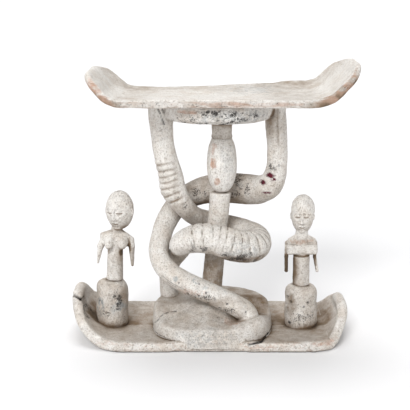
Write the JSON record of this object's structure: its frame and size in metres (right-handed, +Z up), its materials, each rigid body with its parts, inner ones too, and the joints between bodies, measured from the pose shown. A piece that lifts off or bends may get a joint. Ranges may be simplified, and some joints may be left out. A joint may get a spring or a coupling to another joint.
{
  "type": "carved figural stool",
  "caption": "Dished seat board carried by a boss, a turned column and two coiling serpents over a dished base board with figures on drums.",
  "frame": {"origin": "on the ground, under the middle of the object's bounding box", "axes": "+Z up, X along the seat and base boards, the front of the stool faces -Y"},
  "size_m": [0.454, 0.208, 0.4403],
  "materials": {
    "seat_chalk": "chalky white wash over carved wood, worn to bare pink-brown wood at the edges",
    "body_wash": "chalky ivory wash with fine cracks and dark flecks",
    "worn_wash": "thin rubbed wash, warm grey-brown wood showing through",
    "base_wash": "chalky wash with grey-brown handling stains",
    "bare_wood": "unpainted whittled wood"
  },
  "bodies": {
    "root": {"seat": "seat_chalk", "seat_block": "seat_chalk", "block_peg_left": "bare_wood", "block_peg_right": "bare_wood", "neck_collar": "worn_wash", "egg": "body_wash", "center_dowel": "bare_wood", "center_post": "worn_wash", "serpent_right": "body_wash", "serpent_left": "body_wash", "serpent_peg_right": "bare_wood", "serpent_peg_left": "bare_wood", "coil_mound": "body_wash", "tail_peg": "bare_wood", "mound_peg_left": "bare_wood", "mound_peg_right": "bare_wood", "base": "base_wash", "female_drum": "worn_wash", "female_figure": "body_wash", "female_drum_peg": "bare_wood", "female_peg": "bare_wood", "male_drum": "worn_wash", "male_figure": "body_wash", "male_drum_peg": "bare_wood", "male_peg": "bare_wood"}
  },
  "joints": []
}
